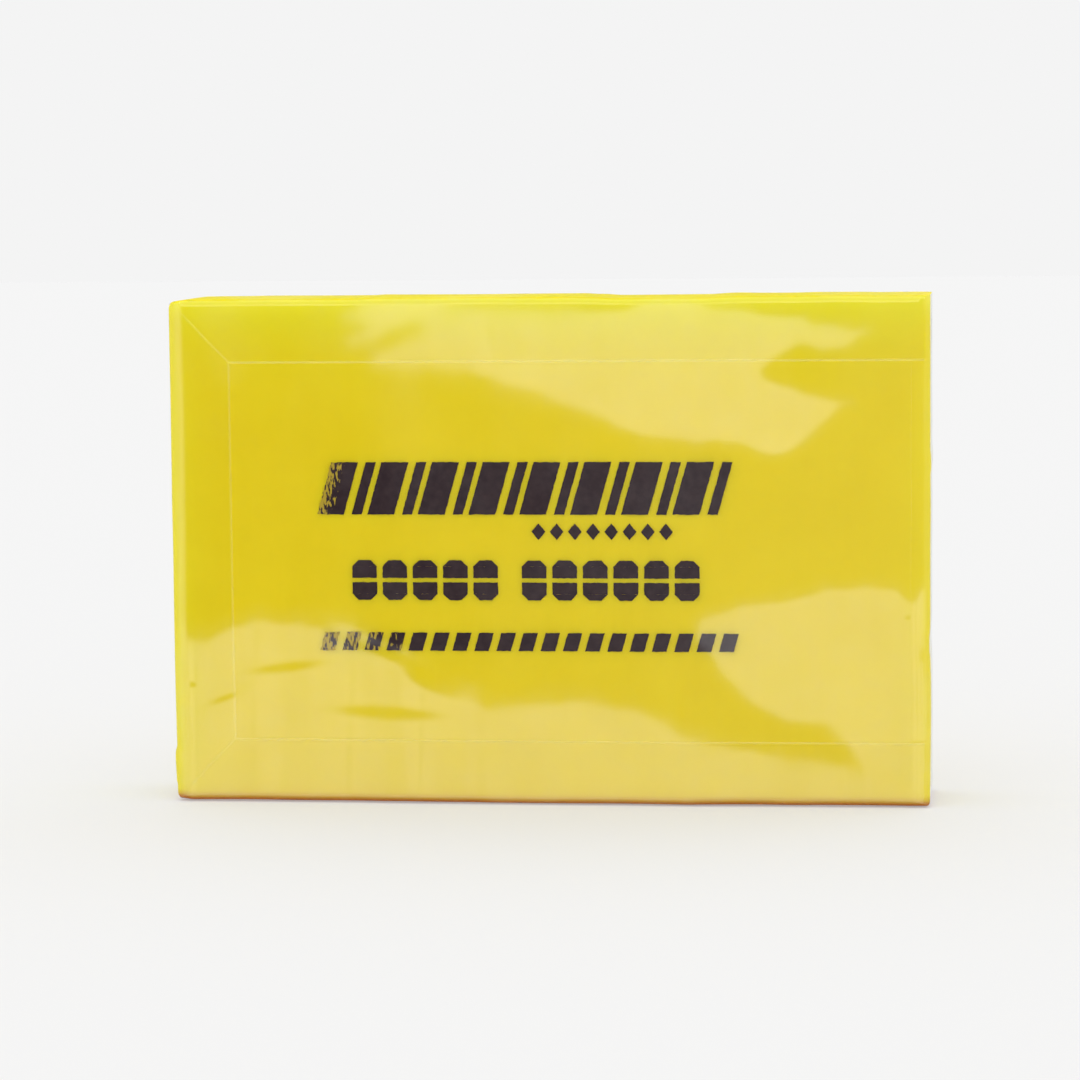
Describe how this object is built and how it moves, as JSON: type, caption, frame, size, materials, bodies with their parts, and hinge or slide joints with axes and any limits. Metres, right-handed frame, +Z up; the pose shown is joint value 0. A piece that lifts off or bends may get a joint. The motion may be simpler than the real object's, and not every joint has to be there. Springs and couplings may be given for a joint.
{
  "type": "clay bar",
  "caption": "Slab of yellow detailing clay, standing on its long edge and wrapped tightly in clear film, with turned-in margins and rows of plain dark marks on the front.",
  "frame": {"origin": "middle of the bottom face, on which the bar stands on one of its long edges", "axes": "+X along the bar towards the end that the film is folded round, -Y out of the printed front, +Z up"},
  "size_m": [0.105, 0.018, 0.07],
  "materials": {
    "clay": "soft satin, slightly translucent",
    "film": "clear gloss",
    "ink": "printed, gloss"
  },
  "bodies": {
    "root": {"clay_bar": "clay", "film_front_panel": "film", "film_right_end": "film", "film_back_panel": "film", "film_flap_top": "film", "film_flap_bottom": "film", "film_flap_left": "film", "print_stripe_row": "ink", "print_diamond_row": "ink", "print_bead_row_left": "ink", "print_bead_row_right": "ink", "print_dash_row": "ink"}
  },
  "joints": []
}
